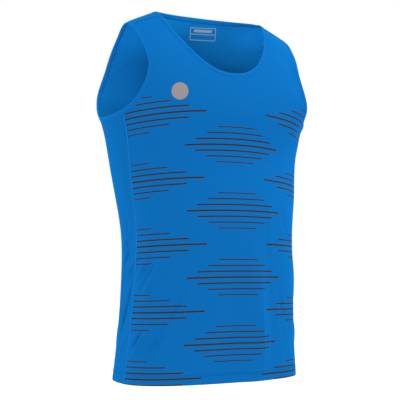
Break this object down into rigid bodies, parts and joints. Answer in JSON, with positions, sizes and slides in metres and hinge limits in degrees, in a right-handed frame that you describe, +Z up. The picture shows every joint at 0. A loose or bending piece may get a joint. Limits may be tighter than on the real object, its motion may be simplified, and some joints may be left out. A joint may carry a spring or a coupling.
{
  "type": "sleeveless running singlet",
  "caption": "Sleeveless round-neck running singlet in worn shape, hollow, with side panels and bound neck and armholes.",
  "frame": {"origin": "between the two shoulder straps, level with their highest points beside the neck, where the wearer holds the garment up", "axes": "+X to the wearer's left, +Y to the back, +Z up; the front faces -Y"},
  "size_m": [0.4354, 0.2557, 0.714],
  "materials": {
    "body_cloth": "smooth polyester knit, azure blue",
    "side_cloth": "fine mesh polyester knit, azure blue",
    "band_cloth": "folded polyester binding, azure blue"
  },
  "bodies": {
    "root": {"front_panel": "body_cloth", "back_panel": "body_cloth", "side_panel_right": "side_cloth", "side_panel_left": "side_cloth", "neck_binding": "band_cloth", "armhole_binding_right": "band_cloth", "armhole_binding_left": "band_cloth"}
  },
  "joints": []
}
